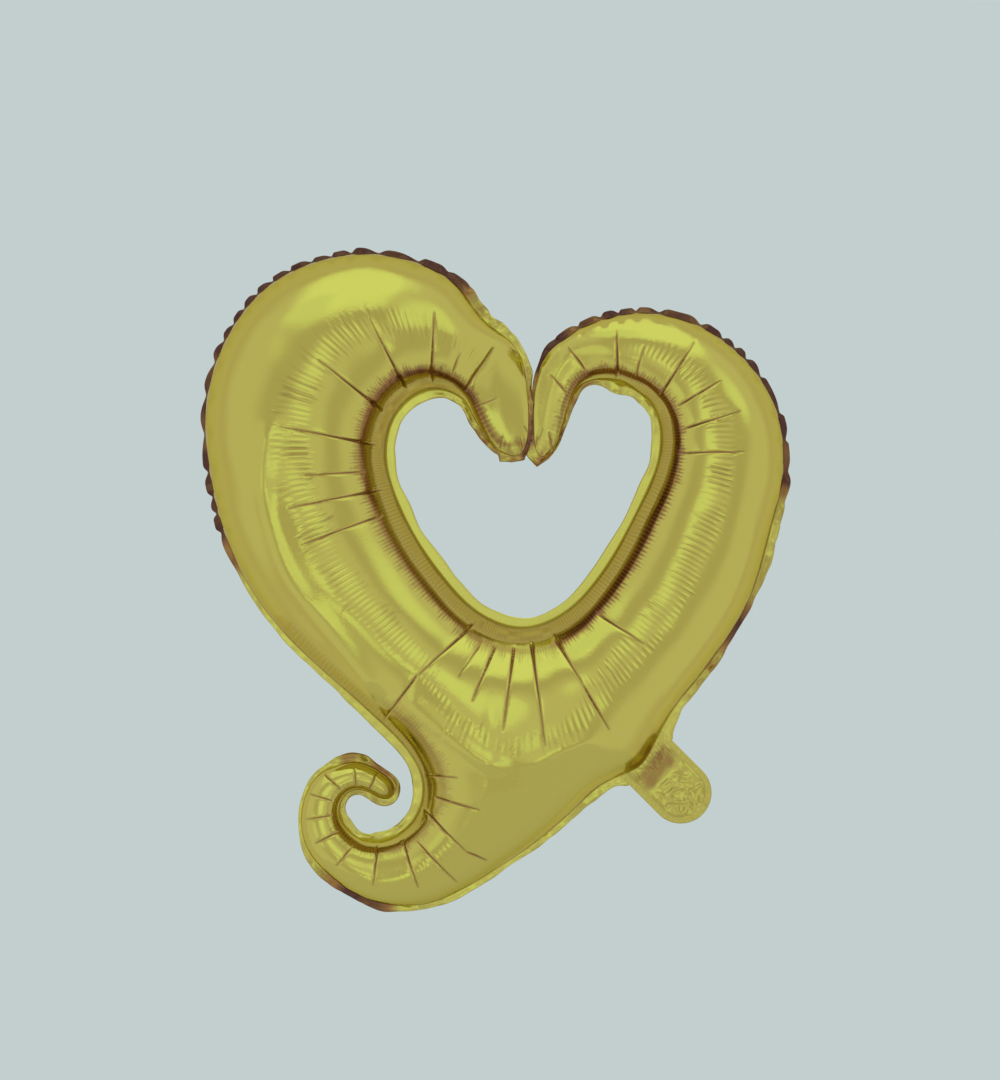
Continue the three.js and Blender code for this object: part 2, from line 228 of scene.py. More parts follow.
# Soft folds: the places each runs through, its height and half its width.
LOWER_LEFT = [(-121, -227), (-95, -258), (-66, -300)]
FOLDS = [
    ([(-146, -90), (-150, -120), (-152, -150), (-146, -178), (-135, -207), *LOWER_LEFT], 2.3, 6),
    ([(-56, -290), (-34, -309), (-9, -330), (12, -344), (31, -350)], 2.3, 6.5),
    ([(31, -350), (48, -343), (72, -331), (100, -322)], 2.2, 6.5),
    ([(210, -165), (205, -190), (197, -212), (188, -235), (172, -260), (151, -286), (140, -312)], 0.7, 5),
    ([(-150, -30), (-120, -8), (-80, 4), (-40, 4)], 0.6, 8),
    ([(15, -290), (14, -340), (10, -395)], 0.5, 5),
    ([(80, -36), (64, -54), (56, -78), (52, -118)], 0.8, 3.5),
    ([(92, -48), (72, -62), (62, -90)], 0.4, 3),
]

# Where the weld runs closer to the cut edge than in the CAD: x, z, width left, reach.
CLOSE_WELDS = [
    (46, -90, 0.9, 26), (36, -50, 3, 26), (58, -52, 3, 20), (20, -106, 1.8, 15), (8, -92, 3.6, 14),
    (66, -100, 1.6, 16), (77, -80, 3, 14), (-60, -368, 3, 16), (-78, -352, 4.2, 22),
    (-122, -385, 3.4, 40), (-90, -385, 4.4, 20), (-30, -447, 3.9, 60), (50, -400, 4.6, 60),
    (-155, -225, 4, 60), (190, -250, 4.2, 60), (-30, 24, 4.6, 42), (-80, 32, 4.6, 42),
    (-130, 18, 4.6, 42), (-165, -10, 4.6, 42), (-188, -50, 4.6, 42), (-196, -95, 4.6, 42),
    (-193, -140, 4.6, 42), (-180, -182, 4.4, 42), (90, -20, 4.6, 34), (130, -14, 4.6, 36),
    (172, -27, 4.6, 42), (205, -52, 4.6, 42), (222, -85, 4.6, 42), (230, -122, 4.8, 34),
]

# How strong the fringe is along the inner edges, in its relief and its painted shade: x, z, strength.
FRINGE_STRENGTHS = [
    (72, -80, 0.5), (88, -62, 0.9), (105, -64, 0.75), (125, -80, 0.8), (140, -106, 1), (121, -162, 1),
    (90, -214, 1), (66, -238, 0.95), (50, -245, 0.4), (20, -242, 0.5), (-11, -221, 0.65),
    (-46, -172, 0.6), (-60, -140, 0.7), (-60, -100, 0.75), (-45, -78, 0.9), (-20, -66, 0.95),
    (-5, -78, 0.9), (14, -104, 0.5), (-120, -270, 0), (-85, -302, 0), (-74, -314, 0.2), (-62, -326, 0.7),
    (-44, -350, 0.6), (-38, -375, 0.4), (-50, -398, 0.8), (-75, -404, 0.85), (-95, -395, 0.8),
    (-80, -372, 0.6),
]

# Ripples along the inner edges: x, z, strength, and the shares of the tube's width they lie between.
RIPPLES = [
    (72, -80, 0.5, 0.4, 0.6), (125, -80, 1, 0.4, 0.6), (90, -214, 1, 0.39, 0.6),
    (66, -238, 0.9, 0.41, 0.6), (50, -244, 0.8, 0.5, 0.62), (20, -242, 0.7, 0.5, 0.62),
    (8, -236, 0.5, 0.45, 0.55), (-11, -221, 0.8, 0.37, 0.56), (-63, -115, 1, 0.385, 0.6),
    (-5, -78, 0.6, 0.4, 0.6), (-120, -270, 0, 0.4, 0.6), (-56, -330, 0, 0.4, 0.6),
    (-42, -352, 0, 0.4, 0.6), (-40, -385, 0.3, 0.4, 0.56), (-60, -402, 0.7, 0.4, 0.6),
    (-80, -372, 0.5, 0.4, 0.6),
]

# Round the weld line, anticlockwise: x, z, width, swing in degrees, painted shade, crumple.
EDGE_STYLES = [
    (194, -243, 3, 18, 0.95, 0.35), (205, -222, 4.5, 15, 0.35, 0.35), (215, -200, 6, 15, 0.05, 0.35),
    (226, -160, 6, 25, 0.1, 0.3), (232, -135, 5.8, 60, 0.9, 0.1), (219, -72, 4.7, 88, 1, 0.1),
    (178, -29, 4.7, 88, 1, 0.1), (120, -15, 4.7, 85, 1, 0.1), (80, -24, 5, 75, 1, 0.2),
    (66, -38, 5.6, 45, 0.9, 0.3), (58, -52, 2.6, 25, 0.95, 0.3), (48, -72, 1.5, 10, 1, 0),
    (47, -95, 1.2, 10, 0.9, 0), (46, -110, 3, 10, 0.9, 0.3), (48, -118, 3, 5, -0.3, 1.8),
    (54, -123, 3, 8, -0.1, 2.2), (62, -115, 2.6, 15, 0.35, 1.6), (66, -100, 2.2, 15, 0.35, 0.7),
    (72, -84, 3.4, 15, 0.3, 0.7), (86, -66, 2.6, 15, 0.6, 0.6), (104, -63, 6.5, 12, 0.05, 0.7),
    (125, -80, 6.2, 8, 0, 0.5), (137, -98, 6, 2, 0, 0.1), (121, -162, 6, 0, 0, 0),
    (90, -214, 6.2, 0, 0, 0), (41, -246, 6.2, 0, 0, 0), (-11, -221, 7, 0, 0, 0), (-46, -172, 6, 0, 0, 0),
    (-63, -115, 6.2, 0, 0, 0), (-31, -70, 5.6, 4, 0, 0.2), (-8, -77, 4.6, 12, 0, 0.7),
    (10, -96, 3.4, 15, 0.1, 0.8), (22, -112, 2.6, 15, 0.6, 0.7), (30, -119, 3, 10, -0.1, 1.8),
    (37, -121, 3, 8, -0.1, 2), (42, -116, 3, 10, 0.9, 0.7), (44, -104, 2.6, 10, 0.9, 0.2),
    (46, -88, 1.2, 10, 1, 0), (45, -70, 2, 10, 0.5, 0.2), (37, -50, 5, 15, 0.05, 0.6),
    (24, -32, 7.5, 15, 0.05, 0.8), (2, -6, 6, 20, 0.1, 0.8), (-10, 6, 6.6, 45, 0.9, 0.3),
    (-40, 24, 4.6, 88, 1, 0.1), (-132, 17, 4.6, 88, 1, 0.1), (-196, -79, 4.7, 88, 1, 0.1),
    (-187, -165, 4.7, 85, 1, 0.1), (-174, -196, 4.4, 60, 0.6, 0.1), (-166, -209, 2.8, 20, 0.05, 0.1),
    (-142, -246, 3.6, 10, 0, 0.1), (-100, -289, 4.8, 5, 0, 0.1), (-56, -330, 6.2, 3, 0, 0),
    (-40, -384, 6.2, 3, 0, 0.2), (-89, -401, 5.5, 5, 0, 0.4), (-95, -378, 2.8, 8, 0.15, 0.4),
    (-72, -372, 5, 10, 0.2, 0.6), (-57, -370, 5, 10, 0.1, 0.8), (-56, -358, 3.8, 15, 0.3, 0.8),
    (-66, -350, 3.5, 20, 0.7, 0.6), (-76, -346, 4.8, 10, 0.3, 0.9), (-95, -347, 8, 10, 0.15, 1),
    (-108, -355, 2.6, 15, 0, 0.4), (-119, -364, 3.2, 10, 0, 0.2), (-125, -375, 2.2, 10, 0, 0.1),
    (-123, -399, 2, 10, 0, 0.1), (-115, -425, 6, 12, 0.1, 0.5), (-106, -435, 4.5, 20, 0.6, 0.4),
    (-87, -446, 3.6, 20, 0.95, 0.2), (-66, -452, 5.5, 10, 0.6, 0.3), (-50, -453, 3.6, 8, 0.05, 0.4),
    (-28, -451, 3.4, 5, 0, 0.4), (0, -437, 5, 5, 0, 0.15), (25, -421, 3.2, 8, 0, 0.15),
    (72, -384, 5, 8, 0, 0.5), (110, -358, 6.5, 4, 0, 0.4), (128, -346, 6.5, 0, 0, 0),
    (140, -328, 6.5, 0, 0, 0), (152, -305, 5.8, 4, 0, 0.4), (170, -275, 4.8, 15, 0.3, 0.5),
    (180, -262, 5.2, 20, 0.3, 0.4),
]

# Ragged flaps of film at the limbs' ends, as outlines round the end of the weld line.
FLAPS = [
    [(16, -108), (19, -115), (20.5, -124), (29, -125), (39, -122), (40.5, -116), (36, -108)],
    [(41, -110), (40, -118), (43, -121), (48.5, -127), (57, -121.5), (60.5, -115), (58, -110)],
]


# ---- Curves in the plane of the weld ----


def node_shape(name):
    """Merged vertices and triangles of a CAD node."""
    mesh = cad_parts[name].data
    mesh.calc_loop_triangles()
    places = np.empty(len(mesh.vertices) * 3, np.float32)
    mesh.vertices.foreach_get("co", places)
    corners = np.empty(len(mesh.loop_triangles) * 3, np.int32)
    mesh.loop_triangles.foreach_get("vertices", corners)
    merged, index = np.unique(np.round(places.reshape(-1, 3) / MM, 3), axis=0, return_inverse=True)
    return merged.astype(float), index.reshape(-1)[corners].reshape(-1, 3)


def flat_outlines(name, depth):
    """Closed outlines, as [x, z], of a node's faces that lie in the plane y = depth."""
    places, triangles = node_shape(name)
    flat = triangles[(np.abs(places[triangles][:, :, 1] - depth) < 0.02).all(1)]
    edges = {(int(a), int(b)) for t in flat for a, b in zip(t, np.roll(t, -1))}
    following = {a: b for a, b in edges if (b, a) not in edges}
    outlines = []
    while following:
        first, here = following.popitem()
        outline = [first]
        while here != first:
            outline.append(here)
            here = following.pop(here)
        outlines.append(places[outline][:, [0, 2]])
    return outlines


def turn_left(v):
    """A vector turned a quarter turn anticlockwise."""
    return np.stack([-v[..., 1], v[..., 0]], -1)


def lengths_along(points, closed=True):
    """Length along a curve to each point, and on round to the first if it is closed."""
    nexts = np.roll(points, -1, 0) if closed else points[1:]
    steps = np.linalg.norm(nexts - points[: len(nexts)], axis=1)
    return np.concatenate([[0], np.cumsum(steps)])


def signed_area(points):
    """Area inside a closed curve, negative if it runs clockwise."""
    a, b = points, np.roll(points, -1, 0)
    return 0.5 * np.sum(a[:, 0] * b[:, 1] - a[:, 1] * b[:, 0])


def blur(values, spread):
    """Values round a closed curve, smoothed over that many samples."""
    count = len(values)
    frequency = np.fft.rfftfreq(count)
    gain = np.exp(-0.5 * (2 * np.pi * frequency * spread) ** 2)
    gain = gain[:, None] if values.ndim > 1 else gain
    return np.fft.irfft(np.fft.rfft(values, axis=0) * gain, count, 0)


def smooth_curve(knots, step):
    """A closed smooth curve through the knots, anticlockwise, with evenly spaced points."""
    if signed_area(knots) < 0:
        knots = knots[::-1]
    t = np.linspace(0, 1, 12, endpoint=False)[None, :, None]
    a, b, c, d = (np.roll(knots, 1 - k, 0)[:, None] for k in range(4))
    fine = 0.5 * (2 * b + (c - a) * t + (2 * a - 5 * b + 4 * c - d) * t**2 + (3 * b - a - 3 * c + d) * t**3)
    fine = fine.reshape(-1, 2)
    along = lengths_along(fine)
    count = round(along[-1] / step)
    wanted = np.arange(count) * along[-1] / count
    ring = np.vstack([fine, fine[:1]])
    even = np.stack([np.interp(wanted, along, ring[:, k]) for k in (0, 1)], 1)
    return blur(even, 2.0 / step)


def inward_normals(curve, spread):
    """Unit vectors into an anticlockwise curve, smoothed over that many points."""
    ahead = np.roll(curve, -1, 0) - np.roll(curve, 1, 0)
    normals = blur(turn_left(ahead), spread)
    return normals / np.linalg.norm(normals, axis=1, keepdims=True)


def ray_lengths(starts, ways, curve, least, most):
    """How far each ray goes before it crosses the closed curve beyond least."""
    a = curve
    side = np.roll(curve, -1, 0) - a
    found = np.full(len(starts), float(most))
    for i, (p, w) in enumerate(zip(starts, ways)):
        cross = w[0] * side[:, 1] - w[1] * side[:, 0]
        cross = np.where(np.abs(cross) < 1e-9, 1e-9, cross)
        off = a - p
        t = (off[:, 0] * side[:, 1] - off[:, 1] * side[:, 0]) / cross
        u = (off[:, 0] * w[1] - off[:, 1] * w[0]) / cross
        hits = t[(u >= 0) & (u < 1) & (t > least)]
        if len(hits):
            found[i] = min(found[i], hits.min())
    return found


def flat_tree(points):
    tree = KDTree(len(points))
    for i, p in enumerate(points):
        tree.insert((p[0], p[1], 0), i)
    tree.balance()
    return tree


def nearest_on(curve, points):
    """Distance to a curve, and the nearest place along it as a fractional index."""
    tree = flat_tree(curve)
    near = np.array([tree.find((p[0], p[1], 0))[1] for p in points])
    best = np.full(len(points), np.inf)
    place = near.astype(float)
    for shift in (-1, 0):
        a = np.clip(near + shift, 0, len(curve) - 2)
        side = curve[a + 1] - curve[a]
        t = np.sum((points - curve[a]) * side, 1) / np.maximum(np.sum(side * side, 1), 1e-12)
        t = np.clip(t, 0, 1)
        d = np.linalg.norm(points - curve[a] - side * t[:, None], axis=1)
        better = d < best
        best = np.where(better, d, best)
        place = np.where(better, a + t, place)
    return best, place


def nearest_on_loop(curve, points):
    return nearest_on(np.vstack([curve, curve[:1]]), points)


def smoothstep(low, high, x):
    """0 up to low, 1 from high on, and a smooth rise between."""
    t = np.clip((x - low) / (high - low), 0, 1)
    return t * t * (3 - 2 * t)


def window(low, high, soft, x):
    """1 between low and high, fading to 0 over soft on each side."""
    return smoothstep(low - soft, low, x) * (1 - smoothstep(high, high + soft, x))


def bell(x, half_width):
    """1 at zero, fading to both sides."""
    return np.exp(-((x / half_width) ** 2))


def waves(points, wavelength, seed, count=20):
    """Smooth random values, about -1 to 1, that vary over the given wavelength."""
    rng = np.random.default_rng(seed)
    angle = rng.uniform(0, 2 * np.pi, count)
    number = 2 * np.pi / (wavelength * rng.uniform(0.7, 1.5, count))
    ways = np.stack([np.cos(angle), np.sin(angle)]) * number
    total = np.sin(points @ ways + rng.uniform(0, 2 * np.pi, count)).sum(1)
    return total / math.sqrt(count) * 1.2


# ---- The weld line and the edges on it ----


def longest_outline(node, depth):
    return max(flat_outlines(node, depth), key=lambda outline: lengths_along(outline)[-1])


def moved_weld(line, cut):
    """The CAD's weld line, moved outward where the film comes closer to its cut edge."""
    inward = inward_normals(line, 3)
    to_cut = blur(np.minimum(ray_lengths(line, -inward, cut, 0.3, 9), 7), 3)
    shift = np.zeros(len(line))
    for x, z, width, spread in CLOSE_WELDS:
        near = np.exp(-(np.linalg.norm(line - np.array([x, z]), axis=1) / spread) ** 4)
        shift = np.maximum(shift, near * np.maximum(to_cut - width, 0))
    return line - inward * blur(shift, 4)[:, None]


def weld_index(place):
    """Index of the weld line's point nearest to a place."""
    return int(np.argmin(np.linalg.norm(weld - np.array(place), axis=1)))


def stretch(start, end):
    """Indices of the weld line's points from one place on, anticlockwise, to another."""
    a, b = weld_index(start), weld_index(end)
    return np.arange(a, b if b > a else b + weld_count) % weld_count


FOIL_DEPTH = -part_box("front_foil")[0].y / MM
cad_weld = smooth_curve(longest_outline("front_foil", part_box("front_foil")[1].y / MM), WELD_STEP)
cut_edge = longest_outline("edge_weld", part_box("edge_weld")[0].y / MM)
weld = smooth_curve(moved_weld(cad_weld, cut_edge), WELD_STEP)
weld_count = len(weld)
weld_in = inward_normals(weld, 3)
tube_width = ray_lengths(weld, weld_in, weld, 2.0, 400)
tube_width = np.minimum(np.exp(blur(np.log(tube_width), 8)), WIDEST)

HOLE = stretch(RIGHT_TIP, LEFT_TIP)
HOOK = stretch(THROAT_START, HOOK_END)
OUTER_LEFT = stretch(LEFT_TIP, THROAT_START)
OUTER_RIGHT = stretch(HOOK_END, RIGHT_TIP)


# ---- Points of the fine mesh ----


def columns(part, spacing, at):
    """Starts, ways in and tube widths on a stretch, evenly spaced as measured some distance in."""
    along = offset_lengths(part, at)
    wanted = np.linspace(0, along[-1], round(along[-1] / spacing), endpoint=False)
    where = np.interp(wanted, along, np.arange(len(part)))
    return [sample(values, part, where) for values in (weld, weld_in, tube_width)]


def offset_lengths(part, at):
    """Lengths along a stretch of the weld line, measured at some distance inside it."""
    return lengths_along(weld[part] + weld_in[part] * at[:, None], closed=False)


def sample(values, part, where):
    """Values round the weld line, read between its points on one stretch."""
    low = np.clip(where.astype(int), 0, len(part) - 2)
    share = (where - low)[:, None] if values.ndim > 1 else where - low
    return values[part[low]] * (1 - share) + values[part[low + 1]] * share


def mid_band(part):
    """How far inside the weld line the ripples' middle is."""
    return np.minimum(0.48 * tube_width[part], 66)


def tube_scale(width):
    return np.minimum(width / USUAL_WIDTH, 1.15)


def band_rows(width):
    """Rows of points: (distance of each column's from the weld line, whether all columns have one)."""
    scale = tube_scale(width)
    rows = [(np.full(len(width), d), False) for d in RIM_ROWS]
    for k in range(FRINGE_ROWS):
        rows.append(((FRINGE_AT - FRINGE_BEFORE + FRINGE_ROW_STEP * k) * scale, True))
    low = (FRINGE_AT + FRINGE_AFTER) * scale
    high = RIPPLE_START * width
    for k in range(PLAIN_ROWS):
        rows.append((low + (high - low) * k / PLAIN_ROWS, False))
    for k in range(RIPPLE_ROWS):
        rows.append(((RIPPLE_START + RIPPLE_SPAN * k / (RIPPLE_ROWS - 1)) * width, True))
    return rows


def room_at(d, most):
    """Least distance between points that lie this far from the weld line."""
    return np.minimum(0.5 * d + 0.04, most)


def band_points(part):
    """The rim's points and the others along an inner edge, in columns straight across wide tubes."""
    base, way, width = columns(part, COLUMN, mid_band(part))
    even = np.arange(len(base)) % 2 == 0
    found = []
    for d, whole in band_rows(width):
        kept = (even | whole) & ((d < RIM_BAND) | (width > NARROW)) & (d < BAND_REACH * width)
        room = room_at(d, WHOLE_ROOM if whole else HALF_ROOM)
        found.append((base[kept] + way[kept] * d[kept, None], room[kept], d[kept]))
    return base[even], found


def outer_points(part):
    """The rim's points and the others along an outer edge, in short columns."""
    base, way, width = columns(part, OUTER_COLUMN, np.zeros(len(part)))
    reach = np.minimum(0.3 * width, OUTER_REACH)
    found = []
    for d in OUTER_ROWS:
        kept = d < reach
        found.append(spots(base[kept] + way[kept] * d, room_at(d, OUTER_ROOM), d))
    return base, found


def spots(points, room, depth):
    """Points, the room round each, and its distance from the weld line."""
    zeros = np.zeros(len(points))
    return points, zeros + room, zeros + depth


def crease_points():
    """Rows of points along every crease and beside it."""
    found = []
    for start, end, _ in CREASES:
        a, b = np.array(start, float), np.array(end, float)
        length = np.linalg.norm(b - a)
        t = np.linspace(0, 1, round(length / CREASE_STEP) + 1)
        side = turn_left((b - a) / length)
        for off in CREASE_OFFSETS:
            p = a + (b - a) * t[:, None] + side * off
            found.append(spots(p, CREASE_ROOM, FREE_DEPTH))
    return found


def lattice_points(low, high, pitch):
    """Points of a triangular lattice in a box."""
    rise = pitch * math.sqrt(3) / 2
    rows = []
    for k in range(int((high[1] - low[1]) / rise)):
        x = np.arange(low[0] + (k % 2) * pitch / 2, high[0], pitch)
        rows.append(np.stack([x, np.full(len(x), low[1] + k * rise)], 1))
    return spots(np.vstack(rows), LATTICE_ROOM * pitch, FREE_DEPTH)


def plan_points():
    """The rim's points in order, and the other points of the mesh, none too close together."""
    rim, found = [], crease_points()
    for part in (HOLE, OUTER_LEFT, HOOK, OUTER_RIGHT):
        base, more = band_points(part) if part is HOLE or part is HOOK else outer_points(part)
        rim.append(base)
        found += more
    rim = np.vstack(rim)
    for low, high in FINE_PLACES:
        found.append(lattice_points(low, high, FINE_LATTICE))
    found.append(lattice_points(weld.min(0), weld.max(0), LATTICE))
    points, room, depth = (np.concatenate(x) for x in zip(*found))
    to_weld, _ = nearest_on_loop(weld, points)
    fits = (to_weld > 0.85 * np.minimum(depth, 20)) & contains(rim, points)
    return rim, thinned(points[fits], room[fits])


def contains(outline, points):
    """Which points lie inside a closed outline."""
    odd = np.zeros(len(points), bool)
    for a, b in zip(outline, np.roll(outline, -1, 0)):
        if a[1] == b[1]:
            continue
        spans = (a[1] > points[:, 1]) != (b[1] > points[:, 1])
        crosses = points[:, 0] < a[0] + (b[0] - a[0]) * (points[:, 1] - a[1]) / (b[1] - a[1])
        odd ^= spans & crosses
    return odd


def thinned(points, room):
    """The points without those that have an earlier one within their room."""
    tree = flat_tree(points)
    kept = np.ones(len(points), bool)
    for i, p in enumerate(points):
        near = tree.find_range((p[0], p[1], 0), room[i])
        if any(j < i and kept[j] for _, j, _ in near):
            kept[i] = False
    return points[kept]


def triangulate(rim, inside):
    """Triangles within a closed rim: (points, faces, which points are on the rim)."""
    places = [Vector(p) for p in np.vstack([rim, inside])]
    n = len(rim)
    edges = [(i, (i + 1) % n) for i in range(n)]
    made = delaunay_2d_cdt(places, edges, [], 1, 1e-6)
    points = np.array([tuple(v) for v in made[0]])
    faces = np.array(made[2], dtype=int)
    to_rim, _ = nearest_on_loop(rim, points)
    return points, faces, to_rim < 1e-4


# ---- Inflating ----


def segment_distance(points, start, end):
    """Distance of points from a segment, and the share of it that they are along."""
    a, b = np.array(start, float), np.array(end, float)
    t = (points - a) @ (b - a) / ((b - a) @ (b - a))
    near = a + np.clip(t, 0, 1)[:, None] * (b - a)
    return np.linalg.norm(points - near, axis=1), t


def inflated_depth(points, faces, held):
    """Depth over each point. Its square solves Poisson's equation with the rim held at zero."""
    weights, ends_a, ends_b = [], [], []
    load = np.zeros(len(points))
    for k in range(3):
        a, b, c = faces[:, k], faces[:, (k + 1) % 3], faces[:, (k + 2) % 3]
        u, v = points[b] - points[a], points[c] - points[a]
        cross = u[:, 0] * v[:, 1] - u[:, 1] * v[:, 0]
        weights.append(np.sum(u * v, 1) / cross / 2)
        ends_a.append(b)
        ends_b.append(c)
        load += np.bincount(a, cross / 3, len(points))
    w, i, j = map(np.concatenate, (weights, ends_a, ends_b))
    count = len(points)
    total = np.bincount(i, w, count) + np.bincount(j, w, count)
    free = ~held

    def stiffness(x):
        return total * x - np.bincount(i, w * x[j], count) - np.bincount(j, w * x[i], count)

    x = np.zeros(len(points))
    residual = np.where(free, load, 0)
    scaled = residual / total
    way = scaled.copy()
    product = residual @ scaled
    start = product
    for _ in range(4000):
        pushed = np.where(free, stiffness(way), 0)
        step = product / (way @ pushed)
        x += step * way
        residual -= step * pushed
        scaled = residual / total
        renewed = residual @ scaled
        if renewed < 1e-12 * start:
            break
        way = scaled + renewed / product * way
        product = renewed
    return np.sqrt(np.maximum(x, 0))


def full_height(points, height):
    """Height of the film over the weld, lower at the limbs' ends, and open at the neck."""
    d, _ = nearest_on_loop(weld, points)
    ease = RIM_EASE * (1 - smoothstep(0, RIM_EASE_WIDTH, d))
    full = height * (FOIL_DEPTH - SHEET) / height.max() * (1 - ease)
    for start, end in FLAT_ENDS:
        off, t = segment_distance(points, start, end)
        full = full * (1 - FLAT_FACTOR * smoothstep(*FLAT_ALONG, t) * (1 - smoothstep(*FLAT_BESIDE, off)))
    off, _ = segment_distance(points, *LOW_WALL)
    beyond = smoothstep(*LOW_REACH, off)
    most = WALL_SLOPE * d + 0.3 + LOW_MORE * beyond / (1.001 - beyond)
    full = (np.maximum(full, 1e-3) ** -4 + most**-4) ** -0.25  # a smooth minimum
    across = (points - NECK_END) @ ACROSS
    beside = np.linalg.norm(points - NECK_ROOT, axis=1) < ROOT_REACH
    return full + NECK_SWELL * np.clip(1 - (across / ROOT_HALF) ** 2, 0, 1) * bell(d, 6) * beside


def vertex_normals(places, faces):
    """Unit normals at the points of a mesh, as the mean of its triangles' by area."""
    a, b, c = (places[faces[:, k]] for k in range(3))
    face_normals = np.cross(b - a, c - a)
    normals = np.zeros_like(places)
    for k in range(3):
        for axis in range(3):
            normals[:, axis] += np.bincount(faces[:, k], face_normals[:, axis], len(places))
    return normals / np.maximum(np.linalg.norm(normals, axis=1, keepdims=True), 1e-12)


# ---- Values that change round the weld line ----


def along_weld(rows):
    """Values from rows of (x, z, values ...), spread smoothly round the whole weld line."""
    marks = np.array([weld_index(row[:2]) for row in rows], float)
    values = np.array([row[2:] for row in rows], float)
    order = np.argsort(marks)
    marks, values = marks[order], values[order]
    marks = np.concatenate([[marks[-1] - weld_count], marks, [marks[0] + weld_count]])
    values = np.vstack([values[-1:], values, values[:1]])
    where = np.arange(weld_count)
    return blur(np.stack([np.interp(where, marks, values[:, k]) for k in range(values.shape[1])], 1), 4)


def loop_noise(spread, seed):
    """Smooth random values round the weld line, of about unit size."""
    values = blur(np.random.default_rng(seed).normal(size=weld_count), spread)
    return values / values.std()


def ruffles():
    """A phase that grows by pi from each node of the ruffled edge to the next."""
    pitch = RUFFLE_PITCH * np.exp(0.32 * loop_noise(14, 3))
    grown = np.cumsum(np.pi * WELD_STEP / pitch)
    return grown * np.round(grown[-1] / np.pi / 2) * 2 * np.pi / grown[-1]


edge_style = along_weld(EDGE_STYLES)
fringe_strength = along_weld(FRINGE_STRENGTHS)[:, 0]
ripple_style = along_weld(RIPPLES)
ruffle_phase = ruffles()


# ---- Creases, ripples and puckers ----


def crease_relief(points, seed):
    """How far creases draw the film in, and how deep in one each point is, from 0 to 1."""
    rng = np.random.default_rng(seed)
    wander = waves(points, 22, seed + 1) * 0.45
    drawn = np.zeros(len(points))
    deepest = np.zeros(len(points))
    for start, end, depth in CREASES:
        depth = depth * rng.uniform(0.85, 1.15)
        length = math.dist(start, end)
        d, t = segment_distance(points, start, end)
        d = np.abs(d + wander * (d > 3))
        run_out = np.clip(1 - t, 0, 1) ** 0.6
        strength = smoothstep(-6 / length, 8 / length, t) * run_out
        sharp = bell(d, CREASE_NARROW)
        drawn += depth * strength * (0.4 * np.exp(-d / CREASE_BROAD) + 0.6 * sharp)
        deepest = np.maximum(deepest, np.sqrt(strength) * sharp * min(depth / 1.5, 1))
    return drawn, deepest


def band_relief(points, part, seed):
    """Ripples and fringe along one inner edge: (height, painted shade of the fringe and wall, painted shade
    of the ripples' troughs).
    """
    d, place = nearest_on(weld[part], points)
    width = sample(tube_width, part, place)
    along = np.interp(place, np.arange(len(part)), offset_lengths(part, mid_band(part)))
    line = np.stack([along, along * 0], 1)
    wander = waves(line, 40, seed)
    lively = np.clip(0.8 + 0.35 * waves(points, 34, seed + 1), 0.3, 1.2)
    strength, low, high = sample(ripple_style, part, place).T
    stroke = np.sin(2 * np.pi * along / RIPPLE_PITCH + wander)
    ragged = waves(line, 7, seed + 2) * 0.02
    in_ripple = window(low + 0.03, high - 0.03, 0.045, d / width + ragged) * lively * strength
    in_ripple = in_ripple * smoothstep(NARROW * 0.8, NARROW * 1.5, width)
    hair = np.sin(2 * np.pi * along / FRINGE_PITCH - wander)
    in_fringe = fringe_share(d, width, line, hair, seed) * sample(fringe_strength, part, place)
    wall = window(0.5, FRINGE_AT - FRINGE_BEFORE, 4, d / tube_scale(width)) * smoothstep(30, 80, width)
    # painted shade: brown along the fringe, and a little on the steep wall beside the weld
    painted_shade = np.maximum(in_fringe * (FRINGE_PAINTED_SHADE + 0.2 * hair), (WALL_PAINTED_SHADE + 0.1 * hair) * wall)
    height = RIPPLE_HEIGHT * stroke * in_ripple + FRINGE_HEIGHT * hair * in_fringe * lively
    return height, painted_shade, in_ripple * np.clip(-stroke, 0, 1)


def fringe_share(d, width, line, hair, seed):
    """Each point's share in the fringe: a core where the film turns over, and hairs from it inward."""
    scale = tube_scale(width)
    off = (d - FRINGE_AT * scale) / np.maximum(scale, 0.85)
    reach = 2.2 + FRINGE_HAIRS * np.clip(0.5 + 0.26 * hair + 0.16 * waves(line, 3.1, seed + 3), 0, 1.2)
    reach = reach + 0.8 * waves(line, 15, seed + 4)
    core = smoothstep(-FRINGE_CORE - 1.5, -FRINGE_CORE + 1.5, off) * (1 - smoothstep(1.0, 3.5, off))
    hairs = smoothstep(-FRINGE_CORE, 0, off) * (1 - smoothstep(reach - 2.5, reach + 1.5, off))
    return np.maximum(core, HAIRS_SHARE * hairs) * smoothstep(8, 30, width)


def fold_relief(points):
    """Soft ridges where the film turns from one curve into another."""
    out = np.zeros(len(points))
    for places, rise, half_width in FOLDS:
        curve = smooth_path(np.array(places, float), 3.0)
        d, where = nearest_on(curve, points)
        ends = smoothstep(0, 6, where) * (1 - smoothstep(len(curve) - 7, len(curve) - 1, where))
        out += rise * ends * bell(d, half_width)
    return out


def smooth_path(knots, step):
    """Evenly spaced points along an open path whose corners are rounded."""
    for _ in range(3):
        low, high = knots[:-1] * 0.75 + knots[1:] * 0.25, knots[:-1] * 0.25 + knots[1:] * 0.75
        middle = np.stack([low, high], 1).reshape(-1, 2)
        knots = np.vstack([knots[:1], middle, knots[-1:]])
    along = lengths_along(knots, closed=False)
    wanted = np.linspace(0, along[-1], round(along[-1] / step) + 1)
    return np.stack([np.interp(wanted, along, knots[:, k]) for k in (0, 1)], 1)


